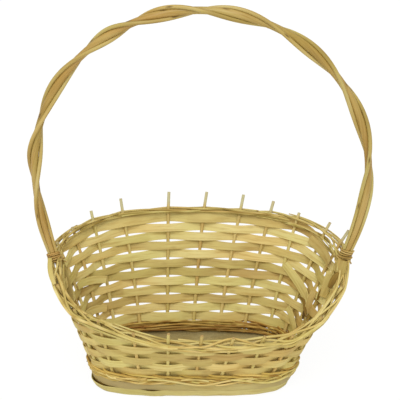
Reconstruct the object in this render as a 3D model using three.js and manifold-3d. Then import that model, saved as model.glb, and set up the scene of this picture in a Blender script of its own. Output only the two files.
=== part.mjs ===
// Oval willow gift basket with a fixed, twisted hoop handle.
// Millimetres, +Z up. X runs along the basket, through both handle feet; -Y is the lowered front.
// The origin is on the floor, under the middle of the object's outer box.

import * as THREE from 'three';
import * as BufferGeometryUtils from 'three/addons/utils/BufferGeometryUtils.js';
import Module from 'manifold-3d';

// Driving dimensions: the wall, as the surface through the middle of the stakes
const WALL_HEIGHT = 154.5;
const WALL_HOLLOW = 0.08;
const BASE_LENGTH = 215;
const BASE_DEPTH = 93;
const RIM_LENGTH = 330;
const RIM_BACK_DEPTH = 109;
const RIM_FRONT_DEPTH = 95;
const BASE_ROUNDNESS = 3.7;
const RIM_BACK_ROUNDNESS = 2.4;
const RIM_FRONT_ROUNDNESS = 2.8;

// The hand-made base sits a little to the left of the rim and a little to the front
const BASE_SHIFT_LEFT = 10;
const BASE_SHIFT_FRONT = 6.4;

// Driving dimensions: stakes and strips
const STAKES = 24;
const STAKE_RADIUS = 1.9;
const STRIP_THICKNESS = 1.0;
const STRIP_FILL = 0.99;
const ROWS = 12;
const FOOT_STRIPS = 2;
const FOOT_STRIP_PITCH = 9.2;
const PANEL_THICKNESS = 2.4;
const PANEL_MARGIN = 4.6;
const CLEARANCE = 0.3;
const STAKE_ABOVE_FLOOR = 1.2;
const CORE_ABOVE_FLOOR = 1.4;
const TAIL_PAST_STAKE = 4;

// Driving dimensions: round rods of the two wales
const BASE_WALE_ROD_RADIUS = 1.0;
const BASE_WALE_ROUNDS = 2;
const RIM_WALE_ROD_RADIUS = 1.2;
const RODS_IN_WALE = 3;

// Driving dimensions: the handle
const HANDLE_SPAN = 363;
const HANDLE_SPRING_HEIGHT = 255;
const HANDLE_RISE = 187.5;
const LEG_STIFFNESS = 0.7;
const HANDLE_LEAN = 3;
const CORE_RADIUS = 4.1;
const CORE_FOOT_RADIUS = 2.2;
const WRAP_RADIUS = 2.1;
const WRAP_TIP_RADIUS = 1.7;
const BINDING_RADIUS = 0.9;
const BINDING_TURNS = 3;
const BINDING_PITCH = 2.5;
const BINDING_ABOVE_RIM = 3.5;
const WRAP_ABOVE_RIM = 1.2;
const THIN_LENGTH = 80;
const THIN_BELOW_RIM = 10;

// How far the rim lies below its back part at each stake, from the right handle foot
// round the back, the left foot and the front
const RIM_DROP = [
  5.5, 6.5, 4, 1.5, 1.2, 1.2, 0.3, 0, 0, 1.5, 3, 5.5,
  5.5, 25.2, 43, 50, 62, 71.5, 74.2, 74.2, 72.5, 70.5, 53, 28.5,
];

// The rows are packed tighter toward the ends and the front: share of the full row height
const ROW_SQUEEZE = [
  0.95, 0.943, 0.965, 0.986, 0.989, 0.989, 0.997, 1, 1, 0.986, 0.973, 0.951,
  0.951, 0.935, 0.915, 0.9, 0.89, 0.865, 0.85, 0.85, 0.865, 0.88, 0.9, 0.93,
];

// How far the wall bulges out beyond the plain oval at each stake, at full height
const RIM_BULGE = [
  -1, 0, 0, 0, 0, 0, 0, 0, 0, 0, 0, 3,
  0.5, 6, 5, 2, 0, 0, 0, 0, 0, 9, 15, 11,
];

// How far each stake stands from its even place at the base and at the rim, as shares
// of the spacing: the real ones were pushed in by hand
const BASE_STAKE_SHIFT = [
  0, 0, 0, 0, 0, 0, 0, 0, 0, 0, 0, 0,
  0, 0, 0, 0.07, 0.05, 0.08, 0.1, 0, 0.05, -0.12, 0, 0,
];
const RIM_STAKE_SHIFT = [
  0, 0, 0.03, 0.26, 0.05, -0.12, -0.11, -0.12, 0.15, 0.05, 0, 0,
  0, 0, 0, 0.05, 0.1, 0.19, 0.24, 0.29, 0.2, 0.1, 0, 0,
];

// How far each stake's cut end stands above the rim
const STAKE_TIPS = [
  0, 17, 9, 5, 12, 16, 17, 17, 15, 10, 3, 2,
  0, 2, 2, 3, 3, 14, 14, 10, 8, 3, 3, 3,
];

// Where the twisted handle lies flat to the front (whole numbers) or edge-on (halves),
// as pairs of the share of its length from the left foot and the half-turns made so far
const HANDLE_TWIST = [
  [0, 0], [0.025, 0], [0.112, 0.5], [0.209, 1.5], [0.34, 2.5], [0.4147, 3.5],
  [0.51, 4.5], [0.6115, 5.5], [0.7235, 6.5], [0.845, 7.5], [0.905, 8], [1, 8],
];

const QUARTER = STAKES / 4;
const LEFT_FOOT = STAKES / 2;
const WALE_STEPS = 3;

const lerp = THREE.MathUtils.lerp;
const clamp = THREE.MathUtils.clamp;

// Colours of the materials
const straw = new THREE.Color('#d9c184');
const paleStraw = new THREE.Color('#e2cf98');
const barkBrown = new THREE.Color('#a9854c');
const panelGrey = new THREE.Color('#b9ad8c');
const handleTan = new THREE.Color('#cdb06c');

function material(colour, roughness) {
  return new THREE.MeshStandardMaterial({ color: colour, roughness, metalness: 0 });
}

// A quarter of a rounded oval, cut into the places of its seven stakes.
// The end of the basket holds the closer spacing, as the base and rim of the real one do.
function quarterPoints(halfLength, halfDepth, roundness, endSpacing) {
  const samples = 400;
  const outline = [];
  for (let i = 0; i <= samples; i += 1) {
    const t = (i / samples) * (Math.PI / 2);
    const x = halfLength * Math.pow(Math.cos(t), 2 / roundness);
    const y = halfDepth * Math.pow(Math.sin(t), 2 / roundness);
    outline.push(new THREE.Vector2(i === samples ? 0 : x, i === 0 ? 0 : y));
  }
  const lengths = [0];
  for (let i = 1; i < outline.length; i += 1) {
    lengths.push(lengths[i - 1] + outline[i].distanceTo(outline[i - 1]));
  }
  const total = lengths[lengths.length - 1];
  return (place) => {
    const half = QUARTER / 2;
    const inEnd = Math.min(place, half) * endSpacing;
    const inSide = Math.max(place - half, 0);
    const target = (total * (inEnd + inSide)) / (half * (1 + endSpacing));
    let i = 1;
    while (i < lengths.length - 1 && lengths[i] < target) {
      i += 1;
    }
    const part = (target - lengths[i - 1]) / (lengths[i] - lengths[i - 1]);
    return outline[i - 1].clone().lerp(outline[i], clamp(part, 0, 1));
  };
}

const BASE_END_SPACING = 0.57;
const RIM_END_SPACING = 0.75;
const baseQuarter = quarterPoints(BASE_LENGTH / 2, BASE_DEPTH / 2, BASE_ROUNDNESS, BASE_END_SPACING);
const rimBackQuarter = quarterPoints(RIM_LENGTH / 2, RIM_BACK_DEPTH, RIM_BACK_ROUNDNESS, RIM_END_SPACING);
const rimFrontQuarter = quarterPoints(RIM_LENGTH / 2, RIM_FRONT_DEPTH, RIM_FRONT_ROUNDNESS, RIM_END_SPACING);

// Mirrors a quarter outline round the oval. Place 0 is the right foot of the handle.
function ovalPoint(backQuarter, frontQuarter, place) {
  const p = THREE.MathUtils.euclideanModulo(place, STAKES);
  const quarter = Math.min(Math.floor(p / QUARTER), 3);
  const inside = p - quarter * QUARTER;
  const outward = quarter % 2 === 0 ? inside : QUARTER - inside;
  const source = quarter < 2 ? backQuarter : frontQuarter;
  const point = source(outward);
  const signX = quarter === 0 || quarter === 3 ? 1 : -1;
  const signY = quarter < 2 ? 1 : -1;
  return new THREE.Vector2(signX * point.x, signY * point.y);
}

// A point of the wall: the stakes lean out from the base outline to the rim outline, and
// those at the ends are a little hollow on the outside
function wallPoint(place, height) {
  const base = ovalPoint(baseQuarter, baseQuarter, place + aroundStakes(BASE_STAKE_SHIFT, place));
  const rim = ovalPoint(rimBackQuarter, rimFrontQuarter, place + aroundStakes(RIM_STAKE_SHIFT, place));
  rim.setLength(rim.length() + aroundStakes(RIM_BULGE, place));
  const v = height / WALL_HEIGHT;
  const hollow = WALL_HOLLOW * 4 * v * (1 - v);
  return new THREE.Vector3(
    lerp(base.x - BASE_SHIFT_LEFT, rim.x, v - hollow),
    lerp(base.y - BASE_SHIFT_FRONT, rim.y, v),
    height,
  );
}

// The wall's outward direction, square to the stakes and to the rows
function wallNormal(place, height) {
  const step = 0.02;
  const along = wallPoint(place + step, height).sub(wallPoint(place - step, height));
  const up = wallPoint(place, height + 1).sub(wallPoint(place, height));
  return along.cross(up).normalize();
}

// Reads a list of values at the stakes as one continuous line round the basket
function aroundStakes(list, place) {
  const p = THREE.MathUtils.euclideanModulo(place, STAKES);
  const i = Math.floor(p) % STAKES;
  return lerp(list[i], list[(i + 1) % STAKES], p - Math.floor(p));
}

// The handle's feet take the place of a stake at each end of the basket and are thicker
function stakeRadiusAt(place) {
  const p = THREE.MathUtils.euclideanModulo(place, LEFT_FOOT);
  const distance = Math.min(p, LEFT_FOOT - p);
  return lerp(CORE_FOOT_RADIUS, STAKE_RADIUS, clamp(distance, 0, 1));
}

function signedVolume(positions, index) {
  const a = new THREE.Vector3();
  const b = new THREE.Vector3();
  const c = new THREE.Vector3();
  let volume = 0;
  for (let i = 0; i < index.length; i += 3) {
    a.fromArray(positions, index[i] * 3);
    b.fromArray(positions, index[i + 1] * 3);
    c.fromArray(positions, index[i + 2] * 3);
    volume += a.dot(b.cross(c)) / 6;
  }
  return volume;
}

// A solid swept through sections of equal size: a closed ring, or a length with two flat ends
function sweep(sections, closed) {
  const size = sections[0].length;
  const positions = [];
  const index = [];
  for (const section of sections) {
    for (const point of section) {
      positions.push(point.x, point.y, point.z);
    }
  }
  const spans = closed ? sections.length : sections.length - 1;
  for (let i = 0; i < spans; i += 1) {
    const here = i * size;
    const next = ((i + 1) % sections.length) * size;
    for (let j = 0; j < size; j += 1) {
      const k = (j + 1) % size;
      index.push(here + j, next + j, next + k);
      index.push(here + j, next + k, here + k);
    }
  }
  if (!closed) {
    const last = (sections.length - 1) * size;
    for (let j = 1; j < size - 1; j += 1) {
      index.push(0, j, j + 1);
      index.push(last, last + j + 1, last + j);
    }
  }
  if (signedVolume(positions, index) < 0) {
    for (let i = 0; i < index.length; i += 3) {
      [index[i + 1], index[i + 2]] = [index[i + 2], index[i + 1]];
    }
  }
  const geometry = new THREE.BufferGeometry();
  geometry.setAttribute('position', new THREE.Float32BufferAttribute(positions, 3));
  geometry.setIndex(index);
  geometry.computeVertexNormals();
  return geometry;
}

function tangentAt(path, i, closed) {
  const n = path.length;
  const before = closed ? path[(i + n - 1) % n] : path[Math.max(i - 1, 0)];
  const after = closed ? path[(i + 1) % n] : path[Math.min(i + 1, n - 1)];
  return after.clone().sub(before).normalize();
}

// A round rod along a path, with a given outward direction at each point
function rod(path, outward, radius, sides, closed) {
  const sections = path.map((point, i) => {
    const tangent = tangentAt(path, i, closed);
    const side = outward[i].clone().addScaledVector(tangent, -outward[i].dot(tangent)).normalize();
    const up = side.clone().cross(tangent);
    const r = typeof radius === 'function' ? radius(i) : radius;
    const section = [];
    for (let j = 0; j < sides; j += 1) {
      const turn = ((j + 0.5) / sides) * Math.PI * 2;
      section.push(point.clone()
        .addScaledVector(side, r * Math.cos(turn))
        .addScaledVector(up, r * Math.sin(turn)));
    }
    return section;
  });
  return sweep(sections, closed);
}

// A flat strip along a path, its width up the wall and its thickness through the wall
function strip(path, outward, widths, thickness, closed) {
  const sections = path.map((point, i) => {
    const tangent = tangentAt(path, i, closed);
    const through = outward[i];
    const up = through.clone().cross(tangent).normalize();
    return [[-1, -1], [1, -1], [1, 1], [-1, 1]].map(([a, b]) => point.clone()
      .addScaledVector(through, (a * thickness) / 2)
      .addScaledVector(up, (b * widths[i]) / 2));
  });
  return sweep(sections, closed);
}

// Levels of the parts of the wall, from the floor up
const waleSwing = (rodRadius) => 1.37 * (rodRadius + CLEARANCE / 2);
const waleHeight = (rodRadius) => 2 * (waleSwing(rodRadius) + rodRadius);
// The wall leans out, so the outer rods of a wale hang this much lower than the inner one
const steepestLean = (RIM_LENGTH - BASE_LENGTH + 2 * BASE_SHIFT_LEFT) / 2 / WALL_HEIGHT;
const waleDip = (rodRadius) => (CORE_FOOT_RADIUS + rodRadius + CLEARANCE) * Math.sin(Math.atan(steepestLean));
const baseWalePitch = 2 * waleSwing(BASE_WALE_ROD_RADIUS) + 2 * BASE_WALE_ROD_RADIUS + CLEARANCE;
const footHeight = FOOT_STRIPS * FOOT_STRIP_PITCH;
const panelBottom = footHeight + CLEARANCE;
const panelTop = panelBottom + PANEL_THICKNESS;
const baseWaleBottom = panelTop + CLEARANCE;
const rowsBottom = baseWaleBottom + baseWalePitch * BASE_WALE_ROUNDS + waleDip(BASE_WALE_ROD_RADIUS) / 2;
const rowsTop = WALL_HEIGHT - waleHeight(RIM_WALE_ROD_RADIUS) - CLEARANCE;
const rowPitch = (rowsTop - rowsBottom) / ROWS;
const rowPitchAt = (place) => rowPitch * aroundStakes(ROW_SQUEEZE, place);
const rimTop = (place) => WALL_HEIGHT - aroundStakes(RIM_DROP, place);
const rimBottom = (place) => rimTop(place) - waleHeight(RIM_WALE_ROD_RADIUS) - CLEARANCE;

const basket = new THREE.Group();
const strawMaterial = material(straw, 0.72);
const paleMaterial = material(paleStraw, 0.7);
const brownMaterial = material(barkBrown, 0.78);
const panelMaterial = material(panelGrey, 0.85);
const handleMaterial = material(handleTan, 0.6);

function add(name, geometry, surface) {
  const mesh = new THREE.Mesh(geometry, surface);
  mesh.name = name;
  basket.add(mesh);
  return mesh;
}

// Stakes: one plain rod at every place but the two handle feet
const STAKE_PIECES = 6;

function stakePath(place, bottom, top) {
  const points = [];
  const outward = [];
  for (let i = 0; i <= STAKE_PIECES; i += 1) {
    points.push(wallPoint(place, lerp(bottom, top, i / STAKE_PIECES)));
    outward.push(wallNormal(place, (bottom + top) / 2));
  }
  return [points, outward];
}

let stakeNumber = 0;
for (let place = 0; place < STAKES; place += 1) {
  if (place % LEFT_FOOT !== 0) {
    stakeNumber += 1;
    const top = rimTop(place) + STAKE_TIPS[place];
    const [path, outward] = stakePath(place, STAKE_ABOVE_FLOOR, top);
    const name = `stake_${String(stakeNumber).padStart(2, '0')}`;
    add(name, rod(path, outward, STAKE_RADIUS, 6, false), strawMaterial);
  }
}

// Flat strips go over one stake and under the next; neighbouring rows take turns.
// A strip lies flat against each stake and crosses straight to the other side between two.
const FLAT_SHARE = 0.15;

function wovenStrip(row, level, width, start, end) {
  const closed = end - start === STAKES;
  const path = [];
  const outward = [];
  const widths = [];
  for (let place = start; place < (closed ? end : end + 1); place += 1) {
    const height = level(place);
    const stake = wallPoint(place, height);
    const normal = wallNormal(place, height);
    const flat = new THREE.Vector3(normal.x, normal.y, 0);
    const swing = stakeRadiusAt(place) + STRIP_THICKNESS / 2 + CLEARANCE;
    const inside = (place + row) % 2 === 0;
    stake.addScaledVector(flat, ((inside ? -1 : 1) * swing) / flat.lengthSq());
    const along = new THREE.Vector3(0, 0, 1).cross(flat).normalize();
    const before = FLAT_SHARE * wallPoint(place, height).distanceTo(wallPoint(place - 1, height));
    const after = FLAT_SHARE * wallPoint(place, height).distanceTo(wallPoint(place + 1, height));
    const isFirst = !closed && place === start;
    const isLast = !closed && place === end;
    path.push(stake.clone().addScaledVector(along, isFirst ? -TAIL_PAST_STAKE : -before));
    path.push(stake.clone().addScaledVector(along, isLast ? TAIL_PAST_STAKE : after));
    outward.push(normal, normal);
    widths.push(width(place), width(place));
  }
  return strip(path, outward, widths, STRIP_THICKNESS, closed);
}

for (let i = 0; i < FOOT_STRIPS; i += 1) {
  const width = () => FOOT_STRIP_PITCH * STRIP_FILL - CLEARANCE;
  const level = () => (i + 0.5) * FOOT_STRIP_PITCH;
  const name = i === 0 ? 'foot_strip_lower' : 'foot_strip_upper';
  add(name, wovenStrip(i + 1, level, width, 0, STAKES), paleMaterial);
}

// A row runs on both ways from the middle of the back until the rim leaves it no room
function lastStake(row, direction) {
  const room = (place) => rimBottom(place) - rowsBottom - row * rowPitchAt(place);
  let reach = 0;
  while (reach < LEFT_FOOT) {
    const next = QUARTER + direction * (reach + 1);
    if (Math.min(room(next), room(next + direction * 0.2)) < -CLEARANCE / 10) {
      return reach;
    }
    reach += 1;
  }
  return reach;
}

for (let row = 1; row <= ROWS; row += 1) {
  const level = (place) => rowsBottom + (row - 0.5) * rowPitchAt(place);
  const width = (place) => rowPitchAt(place) * STRIP_FILL;
  const left = lastStake(row, 1);
  const right = lastStake(row, -1);
  const whole = left + right >= STAKES;
  const start = whole ? 0 : QUARTER - right;
  const end = whole ? STAKES : QUARTER + left;
  const name = `weave_row_${String(row).padStart(2, '0')}`;
  add(name, wovenStrip(row, level, width, start, end), row % 2 ? strawMaterial : paleMaterial);
  console.log(`${name}: from stake ${start} to stake ${end}`);
}

// Three-rod wale: each rod passes outside two stakes and inside the third. At a stake the rod
// that has just come out lies above the one about to go in; the third is inside at mid height.
function waleRodPoint(place, phase, rodRadius, level) {
  const p = THREE.MathUtils.euclideanModulo(phase, RODS_IN_WALE);
  const reach = stakeRadiusAt(place) + rodRadius + CLEARANCE;
  const swing = waleSwing(rodRadius);
  const middle = rodRadius + CLEARANCE / 2;
  let through;
  let up;
  if (p < 1) {
    through = -reach * Math.cos(Math.PI * p);
    up = p < 0.5 ? lerp(0, middle, p * 2) : lerp(middle, swing, p * 2 - 1);
  } else if (p < 2) {
    through = reach;
    up = lerp(swing, -swing, p - 1);
  } else {
    const q = p - 2;
    through = reach * Math.cos(Math.PI * q);
    up = q < 0.5 ? lerp(-swing, -middle, q * 2) : lerp(-middle, 0, q * 2 - 1);
  }
  const height = level(place);
  const normal = wallNormal(place, height);
  const near = 0.05;
  const along = wallPoint(place + near, level(place + near))
    .sub(wallPoint(place - near, level(place - near))).normalize();
  const upward = normal.clone().cross(along).normalize();
  const point = wallPoint(place, height)
    .addScaledVector(normal, through)
    .addScaledVector(upward, up);
  return { point, normal };
}

function waleRod(first, gaps, startPhase, rodRadius, level, closed) {
  const steps = gaps * WALE_STEPS;
  const path = [];
  const outward = [];
  for (let i = 0; i < (closed ? steps : steps + 1); i += 1) {
    const place = first + i / WALE_STEPS;
    const { point, normal } = waleRodPoint(place, startPhase + place - first, rodRadius, level);
    path.push(point);
    outward.push(normal);
  }
  return rod(path, outward, rodRadius, 4, closed);
}

// The base wale makes two rounds and steps up from the first to the second behind the left end
const WALE_START = 9;
const STEP_UP_FROM = STAKES - 2;

function baseWaleLevel(place) {
  const run = place - WALE_START;
  const climbed = clamp((run - STEP_UP_FROM) / 2, 0, 1);
  const middle = waleHeight(BASE_WALE_ROD_RADIUS) / 2 + waleDip(BASE_WALE_ROD_RADIUS);
  return baseWaleBottom + middle + baseWalePitch * climbed;
}

for (let i = 0; i < RODS_IN_WALE; i += 1) {
  const spare = i === 2 ? 2 * RODS_IN_WALE : RODS_IN_WALE;
  const gaps = STAKES * BASE_WALE_ROUNDS - spare;
  const geometry = waleRod(WALE_START + i, gaps, 0, BASE_WALE_ROD_RADIUS, baseWaleLevel, false);
  add(`base_wale_rod_${i + 1}`, geometry, brownMaterial);
}

// The rim wale is one closed round that follows the falling rim
const rimMiddle = waleHeight(RIM_WALE_ROD_RADIUS) / 2 - waleDip(RIM_WALE_ROD_RADIUS);
const rimLevel = (place) => rimTop(place) - rimMiddle;
for (let i = 0; i < RODS_IN_WALE; i += 1) {
  const geometry = waleRod(0, STAKES, i, RIM_WALE_ROD_RADIUS, rimLevel, true);
  add(`rim_wale_rod_${i + 1}`, geometry, strawMaterial);
}

// Path of the handle's middle line from the floor at the left, over the top, to the floor at
// the right: the feet follow the wall, then swing out to the spring of the arch. The whole
// arch leans a little to the left, and its legs turn upright as they leave the rim.
function legPoint(place, height) {
  const leaving = rimTop(place);
  if (height <= leaving) {
    return wallPoint(place, height);
  }
  const foot = wallPoint(place, leaving);
  const lean = foot.clone().sub(wallPoint(place, leaving - 1)).multiplyScalar(LEG_STIFFNESS);
  const rise = HANDLE_SPRING_HEIGHT - leaving;
  const u = (height - leaving) / rise;
  const side = Math.sign(foot.x);
  const x = foot.x * (2 * u ** 3 - 3 * u ** 2 + 1)
    + rise * lean.x * (u ** 3 - 2 * u ** 2 + u)
    + (side * (HANDLE_SPAN / 2) + HANDLE_LEAN / 2) * (-2 * u ** 3 + 3 * u ** 2);
  return new THREE.Vector3(x, 0, height);
}

const LEG_STEP = 9;
const ARCH_STEPS = 60;

function handleLine(lowest) {
  const left = [];
  const right = [];
  const steps = Math.ceil((HANDLE_SPRING_HEIGHT - lowest) / LEG_STEP);
  const heights = [];
  for (let i = 0; i < steps; i += 1) {
    heights.push(lerp(lowest, HANDLE_SPRING_HEIGHT, i / steps));
  }
  for (const height of heights) {
    left.push(legPoint(LEFT_FOOT, height));
    right.unshift(legPoint(0, height));
  }
  const arch = [];
  for (let i = 0; i <= ARCH_STEPS; i += 1) {
    const turn = Math.PI * (1 - i / ARCH_STEPS);
    arch.push(new THREE.Vector3(
      (HANDLE_SPAN / 2) * Math.cos(turn) + HANDLE_LEAN * (0.5 - Math.sin(turn)),
      0,
      HANDLE_SPRING_HEIGHT + HANDLE_RISE * Math.sin(turn),
    ));
  }
  return [...left, ...arch, ...right];
}

function linearTable(table, x) {
  let i = 1;
  while (i < table.length - 1 && table[i][0] < x) {
    i += 1;
  }
  const [x0, y0] = table[i - 1];
  const [x1, y1] = table[i];
  return lerp(y0, y1, clamp((x - x0) / (x1 - x0), 0, 1));
}

function lengthsAlong(path) {
  const lengths = [0];
  for (let i = 1; i < path.length; i += 1) {
    lengths.push(lengths[i - 1] + path[i].distanceTo(path[i - 1]));
  }
  return lengths;
}

const across = new THREE.Vector3(0, 1, 0);
const inPlane = (tangent) => tangent.clone().cross(across).normalize().multiplyScalar(-1);

// The core is thick over the arch and thins where it goes down through the weave
const coreLine = handleLine(CORE_ABOVE_FLOOR);
const coreOutward = coreLine.map(() => across);
const thickensFrom = WALL_HEIGHT - THIN_BELOW_RIM;
const coreRadiusAt = (height) => (
  lerp(CORE_FOOT_RADIUS, CORE_RADIUS, clamp((height - thickensFrom) / THIN_LENGTH, 0, 1)));
add('handle_core', rod(coreLine, coreOutward, (i) => coreRadiusAt(coreLine[i].z), 6, false), handleMaterial);

// Two rods twist round the core from foot to foot
const wrapBottom = WALL_HEIGHT - RIM_DROP[0] + WRAP_ABOVE_RIM;
const wrapRadiusAt = (height) => (
  lerp(WRAP_TIP_RADIUS, WRAP_RADIUS, clamp((height - wrapBottom) / THIN_LENGTH, 0, 1)));
const twistLine = handleLine(wrapBottom);
const twistLengths = lengthsAlong(twistLine);
const twistTotal = twistLengths[twistLengths.length - 1];

function twistState(i) {
  const share = twistLengths[i] / twistTotal;
  return {
    turn: Math.PI * linearTable(HANDLE_TWIST, share),
    core: coreRadiusAt(twistLine[i].z),
    wrap: wrapRadiusAt(twistLine[i].z),
  };
}

function wrapRod(side) {
  const path = [];
  const outward = [];
  const radii = [];
  twistLine.forEach((point, i) => {
    const { turn, core, wrap } = twistState(i);
    const tangent = tangentAt(twistLine, i, false);
    const direction = inPlane(tangent).multiplyScalar(Math.cos(turn)).addScaledVector(across, Math.sin(turn));
    path.push(point.clone().addScaledVector(direction, side * (core + wrap + CLEARANCE)));
    outward.push(direction);
    radii.push(wrap);
  });
  return rod(path, outward, (i) => radii[i], 6, false);
}

add('handle_wrap_rod_a', wrapRod(1), handleMaterial);
add('handle_wrap_rod_b', wrapRod(-1), handleMaterial);

// Bindings: a thin rod wound round all three rods of the handle, close above the rim
function binding(foot) {
  const stepsPerTurn = 24;
  const lowest = WALL_HEIGHT - RIM_DROP[0] + BINDING_ABOVE_RIM;
  const steps = Math.round(BINDING_TURNS * stepsPerTurn);
  const room = BINDING_RADIUS + CLEARANCE;
  const path = [];
  const outward = [];
  for (let i = 0; i <= steps; i += 1) {
    const turn = (i / stepsPerTurn) * Math.PI * 2;
    const height = lowest + (i / stepsPerTurn) * BINDING_PITCH;
    const point = legPoint(foot, height);
    const tangent = legPoint(foot, height + 1).sub(legPoint(foot, height - 1)).normalize();
    const wide = coreRadiusAt(height) + 2 * wrapRadiusAt(height) + CLEARANCE + room;
    const deep = coreRadiusAt(height) + room;
    const c = Math.cos(turn);
    const s = Math.sin(turn);
    const flat = 2 / 2.5;
    const radial = inPlane(tangent).multiplyScalar(wide * Math.sign(c) * Math.abs(c) ** flat)
      .addScaledVector(across, deep * Math.sign(s) * Math.abs(s) ** flat);
    path.push(point.add(radial));
    outward.push(tangent);
  }
  return { path, outward };
}

// The least distance between the surfaces of turns that lie side by side
function leastGapToItself(path, radius, stepsPerTurn) {
  let least = Infinity;
  for (let i = 0; i < path.length; i += 1) {
    for (let j = i + Math.floor(stepsPerTurn / 2); j < path.length; j += 1) {
      least = Math.min(least, path[i].distanceTo(path[j]) - 2 * radius);
    }
  }
  return least;
}

for (const [name, foot] of [['handle_binding_right', 0], ['handle_binding_left', LEFT_FOOT]]) {
  const { path, outward } = binding(foot);
  add(name, rod(path, outward, BINDING_RADIUS, 6, false), brownMaterial);
  console.log(`${name}: least gap to itself ${leastGapToItself(path, BINDING_RADIUS, 24).toFixed(2)} mm`);
}

// Base panel: a thin oval board with a hole for every stake and both handle feet
const wasm = await Module();
wasm.setup();

function toManifold(geometry) {
  const bare = geometry.clone();
  bare.deleteAttribute('normal');
  bare.deleteAttribute('uv');
  const merged = BufferGeometryUtils.mergeVertices(bare, 1e-4);
  return new wasm.Manifold(new wasm.Mesh({
    numProp: 3,
    vertProperties: new Float32Array(merged.attributes.position.array),
    triVerts: new Uint32Array(merged.index.array),
  }));
}

function fromManifold(solid) {
  const mesh = solid.getMesh();
  const geometry = new THREE.BufferGeometry();
  geometry.setAttribute('position', new THREE.Float32BufferAttribute(mesh.vertProperties, 3));
  geometry.setIndex(Array.from(mesh.triVerts));
  geometry.computeVertexNormals();
  return geometry;
}

function panelBlank() {
  const outline = [];
  const samples = STAKES * 2;
  for (let i = 0; i < samples; i += 1) {
    const place = (i * STAKES) / samples;
    const height = panelBottom + PANEL_THICKNESS / 2;
    outline.push(wallPoint(place, height).addScaledVector(wallNormal(place, height), PANEL_MARGIN));
  }
  const lower = outline.map((p) => new THREE.Vector3(p.x, p.y, panelBottom));
  const upper = outline.map((p) => new THREE.Vector3(p.x, p.y, panelTop));
  return sweep([lower, upper], false);
}

let panel = toManifold(panelBlank());
for (let place = 0; place < STAKES; place += 1) {
  const [path, outward] = stakePath(place, panelBottom - 6, panelTop + 6);
  const hole = (stakeRadiusAt(place) + CLEARANCE) / Math.cos(Math.PI / 6);
  panel = panel.subtract(toManifold(rod(path, outward, hole, 6, false)));
}
add('base_panel', fromManifold(panel), panelMaterial);

// Stand the object on the floor with the middle of its outer box over the origin
basket.updateMatrixWorld(true);
const box = new THREE.Box3().setFromObject(basket, true);
basket.position.set(-(box.min.x + box.max.x) / 2, -(box.min.y + box.max.y) / 2, -box.min.z);
basket.updateMatrixWorld(true);

let triangles = 0;
basket.traverse((object) => {
  if (object.isMesh) {
    triangles += object.geometry.index.count / 3;
  }
});
console.log(`${basket.children.length} pieces, ${triangles} triangles`);
console.log(`box ${box.min.toArray().map((v) => v.toFixed(1))} to ${box.max.toArray().map((v) => v.toFixed(1))}`);
console.log(`row pitch ${rowPitch.toFixed(2)}, rows from ${rowsBottom.toFixed(1)} to ${rowsTop.toFixed(1)}`);

export default basket;
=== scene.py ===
# %% [markdown]
# # A willow gift basket with a lowered front
#
# The basket is woven from split and round willow. Uprights, called stakes, go down through a
# thin board to the floor. Flat strips run over one stake and under the next, and thin round
# rods are twisted round the stakes at the base and along the rim. A tall hoop of three
# twisted rods is the handle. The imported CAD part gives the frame: each woven piece here takes
# the place of the CAD piece of the same name, with finer shapes and willow finishes.

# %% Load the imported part
import random
from math import atan, atan2, ceil, copysign, cos, exp, pi, radians, sin

import bpy
import numpy as np
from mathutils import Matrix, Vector


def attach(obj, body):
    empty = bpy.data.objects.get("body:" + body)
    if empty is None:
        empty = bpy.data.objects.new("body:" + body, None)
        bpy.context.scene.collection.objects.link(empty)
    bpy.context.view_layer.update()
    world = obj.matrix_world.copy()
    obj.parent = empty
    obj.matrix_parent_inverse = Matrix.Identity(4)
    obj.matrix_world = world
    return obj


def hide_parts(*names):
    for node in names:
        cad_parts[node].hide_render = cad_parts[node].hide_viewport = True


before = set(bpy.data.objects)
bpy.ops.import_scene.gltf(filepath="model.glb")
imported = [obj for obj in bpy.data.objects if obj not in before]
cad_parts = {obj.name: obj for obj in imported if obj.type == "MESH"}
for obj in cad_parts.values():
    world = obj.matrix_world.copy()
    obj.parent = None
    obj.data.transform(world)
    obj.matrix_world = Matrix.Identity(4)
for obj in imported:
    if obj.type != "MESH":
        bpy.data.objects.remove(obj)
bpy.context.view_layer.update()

# %% [markdown]
# ## The camera
#
# A product photograph is taken from far away with a long lens, so that the near rim doesn't look
# much larger than the far one. A camera could be moved by hand until it fits. Here its place
# follows from its angle and its distance, so that each can be changed alone.

# %% The camera
VIEW_DOWN = radians(27.5)
VIEW_DISTANCE = 1.8
VIEW_CENTRE = Vector((-0.0015, -0.01875, 0.2208))
VIEW_LENS = 147.5
SENSOR_WIDTH = 36


def add(operator, name, **settings):
    """Adds an object with nothing else selected, and names it."""
    bpy.ops.object.select_all(action="DESELECT")
    operator(**settings)
    bpy.context.object.name = name
    return bpy.context.object


to_viewer = Vector((0, -cos(VIEW_DOWN), sin(VIEW_DOWN)))
camera_place = VIEW_CENTRE + VIEW_DISTANCE * to_viewer
camera = add(bpy.ops.object.camera_add, "camera_front", location=camera_place,
             rotation=(pi / 2 - VIEW_DOWN, 0, 0))
camera.data.lens = VIEW_LENS
camera.data.sensor_width = SENSOR_WIDTH
bpy.context.scene.camera = camera
print("camera at", [round(v, 3) for v in camera_place])

# %% [markdown]
# ## The wall as a surface
#
# All the woven pieces follow one surface, through the middle of the stakes, from a small rounded
# oval at the base to a larger one at the rim. Each piece could be shaped by eye, but pieces that
# share a surface meet where they should. A place on it is the number of the stake, with 0 at the
# right foot of the handle, 6 at the back, 12 at the left foot and 18 at the front, and the height.
# Small tables shift each stake from its even place, as a hand does. The sizes are the CAD part's,
# in millimetres.

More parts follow.
